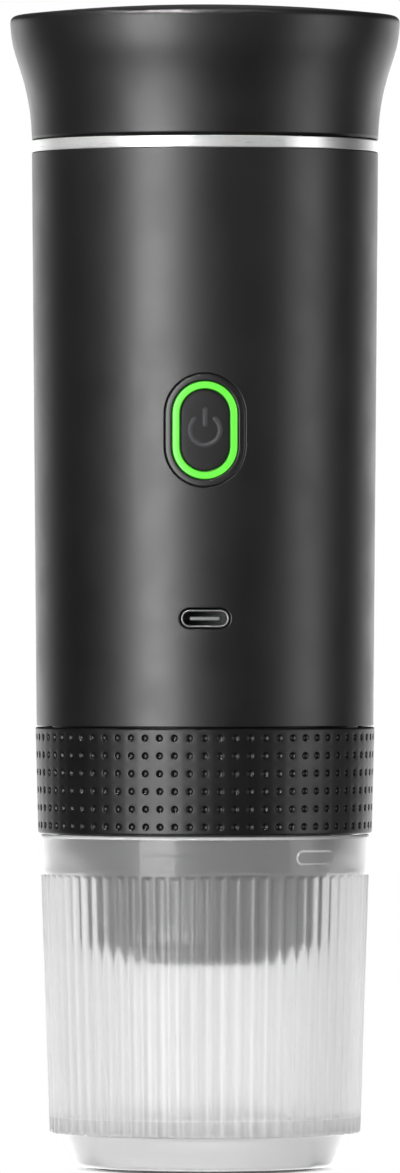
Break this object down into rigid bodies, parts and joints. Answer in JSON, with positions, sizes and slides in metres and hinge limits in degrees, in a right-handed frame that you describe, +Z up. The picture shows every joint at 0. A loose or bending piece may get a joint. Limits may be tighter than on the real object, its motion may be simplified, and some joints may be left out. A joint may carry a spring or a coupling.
{
  "type": "portable coffee machine",
  "caption": "Hand-held battery espresso maker: a tapered body with a lit button and a charging port, a flared screw lid, a dimpled collar and a ribbed frosted cup that it stands on.",
  "frame": {"origin": "centre of the cup's foot, on the surface that it stands on", "axes": "+Z up along the body's axis, -Y towards the button and the charging port, +X to the right seen from the front"},
  "size_m": [0.074, 0.074, 0.2202],
  "materials": {
    "lid_cover": "satin charcoal moulding with a soft bloom",
    "body_cover": "satin charcoal lacquer",
    "grip_rubber": "near-black moulding with rows of dimples",
    "silver_trim": "satin silver",
    "frosted_cup": "frosted translucent copolyester, ribbed",
    "inner_black": "plain dark moulding",
    "chamber_grey": "plain dark grey moulding",
    "steel": "brushed stainless steel",
    "screw_steel": "zinc-plated steel",
    "port_steel": "nickel-plated steel",
    "silicone": "translucent white silicone",
    "dark_rubber": "plain black rubber",
    "light_green": "lit green light guide",
    "button_black": "satin charcoal moulding with a grey power mark",
    "bezel_black": "satin black moulding",
    "port_black": "black insulator",
    "insulation": "grey needle felt",
    "mica": "pressed mica board",
    "heater": "cast heater plate",
    "board_green": "green solder mask",
    "connector": "natural nylon",
    "lead_red": "red silicone wire",
    "cell_wrap": "blue shrink sleeve over a steel can",
    "nickel": "nickel strip",
    "hose": "clear silicone hose",
    "pump_plastic": "natural nylon",
    "pump_can": "zinc-plated steel",
    "copper": "enamelled copper wire",
    "brass": "plain brass",
    "sensor": "epoxy bead",
    "valve_red": "red silicone"
  },
  "bodies": {
    "machine_body": {"trim_ring": "silver_trim", "tank_neck": "inner_black", "tank_cup": "steel", "tank_gasket": "silicone", "tank_insulation": "insulation", "tank_outlet": "inner_black", "heater_plate": "heater", "heat_shield": "mica", "thermistor": "sensor", "heater_leads": "lead_red", "body_shell": "body_cover", "chassis": "inner_black", "deck_screws": "screw_steel", "battery_cell_left": "cell_wrap", "battery_cell_middle": "cell_wrap", "battery_cell_right": "cell_wrap", "battery_straps": "nickel", "main_board": "board_green", "board_connector": "connector", "board_screws": "screw_steel", "usb_shell": "port_steel", "usb_tongue": "port_black", "tact_switch": "port_black", "ring_leds": "connector", "button_bezel": "bezel_black", "light_ring": "light_green", "inlet_hose": "hose", "pump_inlet": "pump_plastic", "pump_can": "pump_can", "pump_bobbin": "pump_plastic", "pump_coil": "copper", "pump_tube": "brass", "plunger_spring": "screw_steel", "pump_outlet": "pump_plastic", "valve_spring": "screw_steel", "pump_grommet": "dark_rubber", "pump_clamp": "inner_black", "clamp_screws": "screw_steel", "outlet_hose": "hose", "brew_head": "inner_black", "brew_gasket": "silicone", "shower_plate": "steel", "shower_screw": "screw_steel"},
    "lid_seal": {"lid_seal": "silicone"},
    "lid": {"lid_shell": "lid_cover", "lid_liner": "inner_black", "vent_valve": "silicone"},
    "button": {"button_cap": "button_black", "switch_stem": "connector"},
    "pump_plunger": {"pump_plunger": "screw_steel"},
    "outlet_valve": {"outlet_valve": "valve_red"},
    "brew_chamber": {"brew_chamber": "chamber_grey", "coffee_basket": "steel", "basket_seal": "silicone", "outlet_spout": "bezel_black", "cup_seal_ring": "dark_rubber"},
    "collar": {"grip_collar": "grip_rubber"},
    "cup": {"cup": "frosted_cup"}
  },
  "joints": [
    {"name": "lid_lift", "type": "slide", "parent": "machine_body", "child": "lid_seal", "axis": [0, 0, 1], "range_m": [0, 0.0131]},
    {"name": "lid_turn", "type": "hinge", "parent": "lid_seal", "child": "lid", "pos_m": [0, 0, 0.2], "axis": [0, 0, 1], "range_deg": [0, 390]},
    {"name": "button_press", "type": "slide", "parent": "machine_body", "child": "button", "axis": [0, 1, 0], "range_m": [0, 0.0008], "stiffness_N_per_m": 3000},
    {"name": "plunger_stroke", "type": "slide", "parent": "machine_body", "child": "pump_plunger", "axis": [0, 0, 1], "range_m": [0, 0.003], "stiffness_N_per_m": 1200, "springref_m": -0.002, "deforming": ["plunger_spring"]},
    {"name": "valve_open", "type": "slide", "parent": "machine_body", "child": "outlet_valve", "axis": [0, 0, -1], "range_m": [0, 0.001], "stiffness_N_per_m": 200, "springref_m": -0.001, "deforming": ["valve_spring"]},
    {"name": "chamber_drop", "type": "slide", "parent": "machine_body", "child": "brew_chamber", "axis": [0, 0, -1], "range_m": [0, 0.0181]},
    {"name": "collar_turn", "type": "hinge", "parent": "brew_chamber", "child": "collar", "pos_m": [0, 0, 0.074], "axis": [0, 0, -1], "range_deg": [0, 540]},
    {"name": "cup_pull", "type": "slide", "parent": "brew_chamber", "child": "cup", "axis": [0, 0, -1], "range_m": [0, 0.03]}
  ],
  "couplings": [
    {"joint": "lid_lift", "follows": "lid_turn", "m_per_rad": 0.0019099},
    {"joint": "chamber_drop", "follows": "collar_turn", "m_per_rad": 0.0019099}
  ]
}
